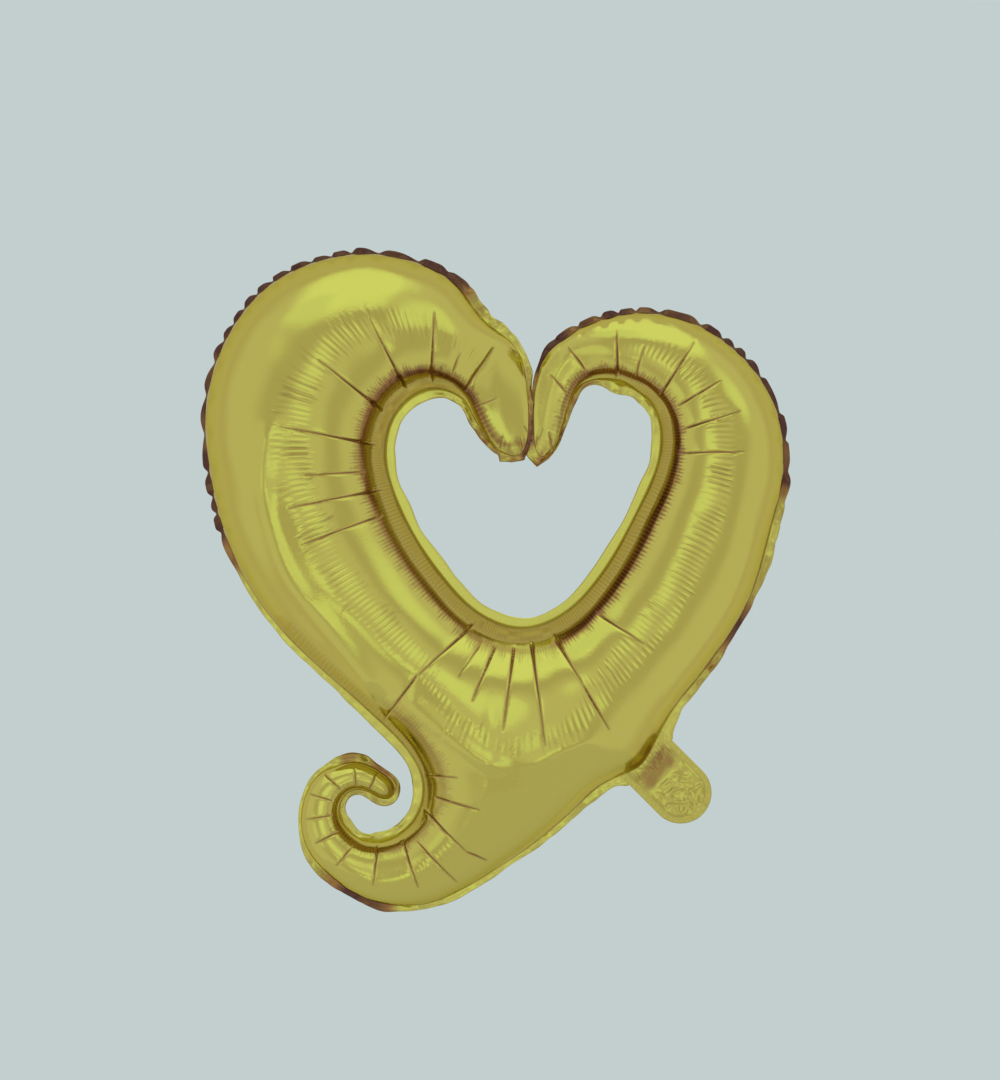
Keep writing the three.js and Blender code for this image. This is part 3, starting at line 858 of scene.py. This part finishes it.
def rim_relief(points):
    """Small pillows between the nodes of the ruffled edge, and pinches at the nodes."""
    d, place = nearest_on_loop(weld, points)
    where = place.astype(int) % weld_count
    bulge = np.sin(np.pi * (ruffle_phase[where] / np.pi % 1))
    pillow = PILLOW_HEIGHT * bulge * window(1.5, 3.5, 4.0, d) - 0.2 * bell(d - 3.0 - 6.5 * bulge, 1.6)
    pinch = -PINCH_DEPTH * bell(bulge, 0.25) * np.exp(-d / 5.5)
    return (pillow + pinch) * edge_style[where, 1] / FULL_SWING, d


def neck_shade(points, to_weld):
    """Painted shade, in streaks, where the film is gathered as it narrows into the neck."""
    across = (points - NECK_END) @ ACROSS
    streaks = 0.55 + 0.45 * np.sin(across / 2.1 + 1.5 * waves(points, 16, 60))
    reach = window(1.5, 5, 8, to_weld) * np.exp(-((across / ROOT_HALF) ** 4))
    return NECK_SHADE * reach * np.clip(streaks, 0.3, 1) * near_neck(points)


def near_neck(points):
    return 1 - smoothstep(20, 55, np.linalg.norm(points - NECK_JOIN, axis=1))


def film_relief(points, seed):
    """How far each point stands out from the inflated shape, and its painted shade, from 0 to 1."""
    drawn, deepest = crease_relief(points, seed)
    hole, hole_fringe, hole_ripple = band_relief(points, HOLE, seed + 20)
    hook, hook_fringe, hook_ripple = band_relief(points, HOOK, seed + 30)
    rim, to_weld = rim_relief(points)
    slow = 0.35 * waves(points, 48, seed + 40) * smoothstep(4, 30, to_weld)
    out = hole + hook + rim + slow + fold_relief(points) - drawn
    # painted shade: dark in the creases, in the fringes and steep walls by the inner edges, on the ripples'
    # troughs and by the neck's gathers
    shades = [CREASE_SHADE * deepest, hole_fringe, HOOK_SHADE * hook_fringe, neck_shade(points, to_weld)]
    painted_shade = np.max(shades, axis=0) + RIPPLE_SHADE * np.maximum(hole_ripple, hook_ripple) ** 2
    return out * smoothstep(0, 2.5, to_weld), np.clip(painted_shade, 0, 1)


# ---- Meshes ----


def new_object(name, data):
    made = bpy.data.objects.new(name, data)
    bpy.context.scene.collection.objects.link(made)
    return made


def new_piece(name, places, faces, painted_shade, material):
    """A smooth mesh from places in millimetres, with its painted shade stored on its points."""
    mesh = bpy.data.meshes.new(name)
    faces = faces if isinstance(faces, list) else faces.tolist()
    mesh.from_pydata((np.asarray(places) * MM).tolist(), [], faces)
    # painted shade: how dark each point is painted, from 0 to 1
    stored = mesh.attributes.new("painted_shade", "FLOAT", "POINT")
    stored.data.foreach_set("value", np.asarray(painted_shade, np.float32))
    mesh.shade_smooth()
    mesh.materials.append(material)
    mesh.validate()
    return new_object(name, mesh)


def make_film(name, side, seed, inflated, material):
    """One inflated film. side is -1 for the front, which faces -Y, and 1 for the back."""
    points, faces, height = inflated
    full = full_height(points, height)
    flat = np.stack([points[:, 0], SHEET + full, points[:, 1]], 1)
    outward = vertex_normals(flat, faces)
    outward *= np.where(outward[:, 1:2] < 0, -1, 1)
    out, painted_shade = film_relief(points, seed)
    steep = np.sqrt(np.clip(full / 6, 0, 1))
    shaped = flat + outward * (out * steep)[:, None]
    shaped[:, 1] = np.maximum(shaped[:, 1], SHEET)
    shaped[:, 1] *= side
    turned = faces if signed_area(points[faces[0]]) * side > 0 else faces[:, ::-1]
    return new_piece(name, shaped, turned, painted_shade, material)


# ---- The welded edge ----


def scallops():
    """How far each scallop stands up, from 0 to 1: least at its nodes, where it is folded back."""
    rng = np.random.default_rng(5)
    cell = (ruffle_phase / np.pi).astype(int)
    share = ruffle_phase / np.pi - cell
    steps = rng.uniform([0.3, 0.6, 0.6], [0.62, 0.88, 1.0], (cell.max() + 1, 3))[cell]
    rise, fall, size = steps.T
    up = smoothstep(0, 1, share / rise) * (1 - smoothstep(0, 1, (share - fall) / (1 - fall)))
    return 0.22 + (size - 0.22) * up**0.8


def edge_width():
    """Width of the edge: as styled, but out to the CAD's cut edge by the neck, and over the flaps."""
    styled = edge_style[:, 0]
    to_cut = ray_lengths(weld, -weld_in, cut_edge, 0.5, 14)
    width = styled + (blur(np.minimum(to_cut, 15), 2) - styled) * near_neck(weld)
    for flap in FLAPS:
        flap = np.array(flap, float)
        across = ray_lengths(weld, -weld_in, flap, 0, 12)
        width = np.maximum(width, np.where(contains(flap, weld), across, 0))
    return width


def loop_faces(levels):
    """Quads from each ring of a closed band to the next, for rings that follow the weld line."""
    index = np.arange(weld_count)
    ahead = (index + 1) % weld_count
    quads = []
    for k in range(levels):
        here = k * weld_count
        up = (k + 1) % levels * weld_count
        quads.append(np.stack([here + index, here + ahead, up + ahead, up + index], 1))
    return np.vstack(quads)


def make_edge(name, material):
    """The weld allowance: a ribbon round the balloon that ruffles where its outline is convex."""
    _, swing, painted_shade, crumple = edge_style.T
    swing = np.radians(swing) * (1 - scallops())
    width = edge_width() * (1 + 0.16 * crumple * loop_noise(4, 11) + 0.07 * loop_noise(7, 12))
    kinks = loop_noise(2.0, 13) * 0.8 + loop_noise(5, 14) * 1.3
    twist = loop_noise(2.5, 15)
    rows = []
    for share in (-0.12, 0.0, 0.15, 0.35, 0.55, 0.78, 1.0):
        r = share * width
        lean = swing * smoothstep(-0.05, 0.35, share)
        lift = r * np.sin(lean) + crumple * max(share, 0) * (kinks + 0.8 * twist * math.sin(7 * share))
        place = weld - weld_in * (r * np.cos(lean))[:, None]
        rows.append(np.stack([place[:, 0], lift, place[:, 1]], 1))
    rows = np.array(rows)
    rise = np.array([0, SHEET, 0])
    ring = np.concatenate([rows - rise, (rows + rise)[::-1]])
    # painted shade: the flange brown where it would reflect dark surroundings, and darker on its twists
    shade = painted_shade * (1.0 + 0.12 * loop_noise(5, 16)) + 0.22 * crumple * np.clip(twist, 0, 2)
    shade = np.tile(np.clip(shade, 0, 1), len(ring))
    return new_piece(name, ring.reshape(-1, 3), loop_faces(len(ring)), shade, material)


# ---- The neck ----


def neck_place(along, across):
    """Places on the neck, measured along and across it from the centre of its round end."""
    return NECK_END + np.multiply.outer(along, ALONG) + np.multiply.outer(across, ACROSS)


def neck_outline():
    """The neck's outline in (along, across), anticlockwise, from inside the balloon's rim."""
    side = np.arange(NECK_START, 0, 0.9)
    turn = np.linspace(-math.pi / 2, math.pi / 2, 72)
    end = np.stack([NECK_RADIUS * np.cos(turn), NECK_RADIUS * np.sin(turn)], 1)
    low = np.stack([side, np.full(len(side), -NECK_RADIUS)], 1)
    high = low[::-1] * [1, -1]
    back = np.stack([np.full(40, NECK_START), np.linspace(NECK_RADIUS, -NECK_RADIUS, 42)[1:-1]], 1)
    return np.vstack([low, end, high, back])


def neck_mesh():
    """The neck's triangles, on points in (along, across)."""
    outline = neck_outline()
    plain, _, _ = lattice_points((NECK_START, -NECK_RADIUS), (NECK_RADIUS, NECK_RADIUS), NECK_PITCH)
    inside = plain[contains(outline, plain)]
    to_side, _ = nearest_on_loop(outline, inside)
    flat, tris, _ = triangulate(outline, inside[to_side > 0.5])
    return flat, tris


def neck_height(flat, seed):
    """Half the neck's thickness: welded flat at its sides, a little open between, and crumpled."""
    along, across = flat[:, 0], flat[:, 1]
    side = np.where(along > 0, NECK_RADIUS - np.linalg.norm(flat, axis=1), NECK_RADIUS - np.abs(across))
    open_end = 1 - smoothstep(MOUTH / 2 - 2.5, MOUTH / 2, np.abs(across))
    welded = 1 - smoothstep(NECK_EDGE - 1.2, NECK_EDGE + 1.4, side)
    at_mouth = smoothstep(8, 12, along) * open_end
    free = np.maximum(1 - welded, at_mouth)
    swell = NECK_SWELL * smoothstep(-48, -43, along) * (1 - smoothstep(-38, -24, along))
    swell = swell * np.clip(1 - (across / NECK_RADIUS) ** 2, 0, 1)
    ridges = bell(waves(flat, 20, seed), 0.7) + 0.6 * bell(waves(flat, 15, seed + 1), 0.5)
    ridges = ridges + 0.1 * waves(flat, 7, seed + 2)
    middle = window(-11, 12, 6, along) * smoothstep(4, 8, side)
    gathers = 0.35 * waves(flat * [0.3, 1], 4.5, seed + 2) * smoothstep(-14, -30, along)
    gathers = gathers * smoothstep(3, 8, side)
    lifted = 0.62 + swell + np.maximum(ridges, 0) * middle + np.abs(gathers)
    nicks = 0.10 * np.abs(waves(flat, 3.2, seed + 3)) * welded
    return SHEET + nicks + free * (lifted - SHEET)


def neck_painted_shade(flat):
    """Painted shade on the neck: a little all over, and more in a band across its middle."""
    slant = flat[:, 0] + 0.12 * flat[:, 1] + 0.8 * waves(flat, 14, 77)
    band = window(-31, -21, 4, slant) * (1 - smoothstep(11, 20, np.abs(flat[:, 1])))
    return NECK_PAINTED_SHADE + NECK_BAND_PAINTED_SHADE * band


def make_neck(name, material):
    """The flat filling neck: two crumpled films, welded at their sides and open at the mouth."""
    flat, tris = neck_mesh()
    count = len(flat)
    ends = {(int(a), int(b)) for t in tris for a, b in zip(t, np.roll(t, -1))}
    rim = np.array([(a, b) for a, b in ends if (b, a) not in ends])
    where = neck_place(flat[:, 0], flat[:, 1])
    places, quads = [], []
    for side, seed in ((-1, 300), (1, 320)):
        outer = neck_height(flat, seed)
        first = len(places) * count
        for y in (outer, outer - NECK_WALL):
            places.append(np.stack([where[:, 0], side * y, where[:, 1]], 1))
        quads += (tris[:, ::-side] + first).tolist()
        quads += (tris[:, ::side] + first + count).tolist()
        a, b = rim[:, 0] + first, rim[:, 1] + first
        wall = np.stack([a, a + count, b + count, b], 1)
        quads += wall[:, ::-side].tolist()
    return new_piece(name, np.vstack(places), quads, np.tile(neck_painted_shade(flat), len(places)), material)


# ---- Materials ----


def set_inputs(tree, node, inputs):
    """Sets a node's inputs, or links them to another node's output."""
    for name, value in inputs.items():
        if isinstance(value, bpy.types.NodeSocket):
            tree.links.new(value, node.inputs[name])
        else:
            node.inputs[name].default_value = value


def add_node(tree, kind, inputs, **settings):
    node = tree.nodes.new(kind)
    for name, value in settings.items():
        setattr(node, name, value)
    set_inputs(tree, node, inputs)
    return node


def math_node(tree, kind, operation, *values):
    return add_node(tree, kind, dict(enumerate(values)), operation=operation).outputs["Value"]


def colour_ramp(tree, value, rows):
    """A colour that follows a value through rows of (value, colour)."""
    node = add_node(tree, "ShaderNodeValToRGB", {"Fac": value})
    stops = node.color_ramp.elements
    while len(stops) < len(rows):
        stops.new(0.5)
    for stop, (place, colour) in zip(stops, rows):
        stop.position = place
        stop.color = (*colour, 1)
    return node.outputs["Color"]


def noise_node(tree, scale, detail):
    """Smooth random values, mostly from 0.3 to 0.7, in the piece's own space."""
    place = tree.nodes.get("place") or add_node(tree, "ShaderNodeTexCoord", {}, name="place")
    inputs = {"Vector": place.outputs["Object"], "Scale": scale, "Detail": detail}
    return add_node(tree, "ShaderNodeTexNoise", inputs).outputs["Fac"]


def ranged(tree, noise, low, high):
    """The values of a noise node, spread from low to high."""
    inputs = {"Value": noise, "From Min": 0.3, "From Max": 0.7, "To Min": low, "To Max": high}
    return add_node(tree, "ShaderNodeMapRange", inputs).outputs["Result"]


def new_material(name):
    material = bpy.data.materials.new(name)
    material.use_nodes = True
    tree = material.node_tree
    return material, tree, tree.nodes["Principled BSDF"]


def gold_film_material(name, rough):
    """Metal-coated gold film: a satin mirror with faint haze, with painted shade, from olive to brown, in
    its creases, fringes and folds.
    """
    material, tree, shader = new_material(name)
    # painted shade: the stored value darkens the gold through olive and copper to brown, a little unevenly
    stored = add_node(tree, "ShaderNodeAttribute", {}, attribute_name="painted_shade").outputs["Fac"]
    shade_unevenness = ranged(tree, noise_node(tree, 60, 3), 0.85, 1.0)
    strength = math_node(tree, "ShaderNodeMath", "MULTIPLY", stored, shade_unevenness)
    bumps = {"Strength": 0.12, "Distance": 0.0004, "Height": noise_node(tree, 420, 2)}
    inputs = {
        "Base Color": colour_ramp(tree, strength, FILM_COLOUR_AND_PAINTED_SHADE),
        "Metallic": 1.0,
        "Specular Tint": (*GOLD_EDGE, 1),
        "Coat Weight": 0.4,
        "Coat Roughness": 0.2,
        "Roughness": ranged(tree, noise_node(tree, 25, 4), rough - 0.04, rough + 0.05),
        "Normal": add_node(tree, "ShaderNodeBump", bumps).outputs["Normal"],
    }
    set_inputs(tree, shader, inputs)
    return material


def clear_film_material(name):
    """Thin clear plastic with a faint bluish haze."""
    material, tree, shader = new_material(name)
    haze = ranged(tree, noise_node(tree, 90, 3), 0.08, 0.3)
    inputs = {"Base Color": (*CLEAR, 1), "Transmission Weight": 0.9, "IOR": 1.5, "Roughness": haze}
    set_inputs(tree, shader, inputs)
    return material


# ---- Studio ----


def facing(tree, way, direction):
    """Cosine of the angle between the way a ray goes and a direction."""
    return math_node(tree, "ShaderNodeVectorMath", "DOT_PRODUCT", way, direction)


def studio_ring(tree, way):
    """The colour that depends on the angle from the front only."""
    front = facing(tree, way, (0, -1, 0))
    angle = math_node(tree, "ShaderNodeMath", "ARCCOSINE", front)
    share = math_node(tree, "ShaderNodeMath", "DIVIDE", angle, math.pi)
    return colour_ramp(tree, share, [(degrees / 180, colour) for degrees, colour in STUDIO])


def soft_light(tree, way, behind, direction, inner, outer, colour):
    """One round light with a soft border, over the colour behind it."""
    inputs = {
        "Value": facing(tree, way, Vector(direction).normalized()),
        "From Min": math.cos(math.radians(outer)),
        "From Max": math.cos(math.radians(inner)),
    }
    share = add_node(tree, "ShaderNodeMapRange", inputs, interpolation_type="SMOOTHSTEP").outputs["Result"]
    mixed = {"Factor": share, "A": behind, "B": (*colour, 1)}
    return add_node(tree, "ShaderNodeMix", mixed, data_type="RGBA").outputs["Result"]


def make_world():
    """A pale backdrop for the camera, and a soft studio for the film to reflect."""
    world = bpy.data.worlds.new("studio")
    bpy.context.scene.world = world
    world.use_nodes = True
    tree = world.node_tree
    tree.nodes.clear()
    way = tree.nodes.new("ShaderNodeTexCoord").outputs["Generated"]
    total = studio_ring(tree, way)
    for light in SOFT_LIGHTS:
        total = soft_light(tree, way, total, *light)
    lit = add_node(tree, "ShaderNodeBackground", {"Color": total}).outputs["Background"]
    seen = add_node(tree, "ShaderNodeBackground", {"Color": (*BACKDROP, 1)}).outputs["Background"]
    is_seen = tree.nodes.new("ShaderNodeLightPath").outputs["Is Camera Ray"]
    shown = add_node(tree, "ShaderNodeMixShader", {0: is_seen, 1: lit, 2: seen}).outputs["Shader"]
    add_node(tree, "ShaderNodeOutputWorld", {"Surface": shown})


def make_floor():
    """A matt disc below the balloon."""
    mesh = bpy.data.meshes.new("floor")
    turns = [2 * math.pi * k / FLOOR_SIDES for k in range(FLOOR_SIDES)]
    places = [(FLOOR_RADIUS * math.cos(t), FLOOR_RADIUS * math.sin(t), FLOOR_LEVEL) for t in turns]
    mesh.from_pydata(places, [], [list(range(FLOOR_SIDES))])
    disc = new_object("floor", mesh)
    material, tree, shader = new_material("floor")
    set_inputs(tree, shader, {"Base Color": (*FLOOR_GREY, 1), "Roughness": 0.8})
    mesh.materials.append(material)


def make_camera():
    data = bpy.data.cameras.new("camera")
    data.lens = SENSOR * CAMERA_DISTANCE / PICTURE_HEIGHT
    made = new_object("camera", data)
    made.location = (CAMERA_SIDE, -CAMERA_DISTANCE, CAMERA_LEVEL)
    made.rotation_euler = (math.pi / 2, 0, 0)
    bpy.context.scene.camera = made


# ---- Building it all ----

film_gold = gold_film_material("gold_film", 0.13)
edge_gold = gold_film_material("gold_weld", 0.16)
valve_clear = clear_film_material("clear_film")

mesh_points, mesh_faces, held = triangulate(*plan_points())
inflated = (mesh_points, mesh_faces, inflated_depth(mesh_points, mesh_faces, held))
front = make_film("front_film", -1, 100, inflated, film_gold)
back = make_film("back_film", 1, 200, inflated, film_gold)
edge = make_edge("welded_edge", edge_gold)
neck = make_neck("filling_neck", edge_gold)
for node in ("valve_front_inner", "valve_back_inner", "valve_front_outer", "valve_back_outer"):
    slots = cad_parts[node].data.materials
    slots.clear()
    slots.append(valve_clear)

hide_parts("front_foil")
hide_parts("back_foil")
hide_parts("edge_weld")
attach(front, "balloon")
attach(back, "balloon")
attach(edge, "balloon")
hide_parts("neck_front_foil", "neck_back_foil", "neck_weld_lower", "neck_weld_upper")
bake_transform(neck)

make_world()
make_floor()
make_camera()
bpy.context.scene.view_settings.view_transform = "Standard"
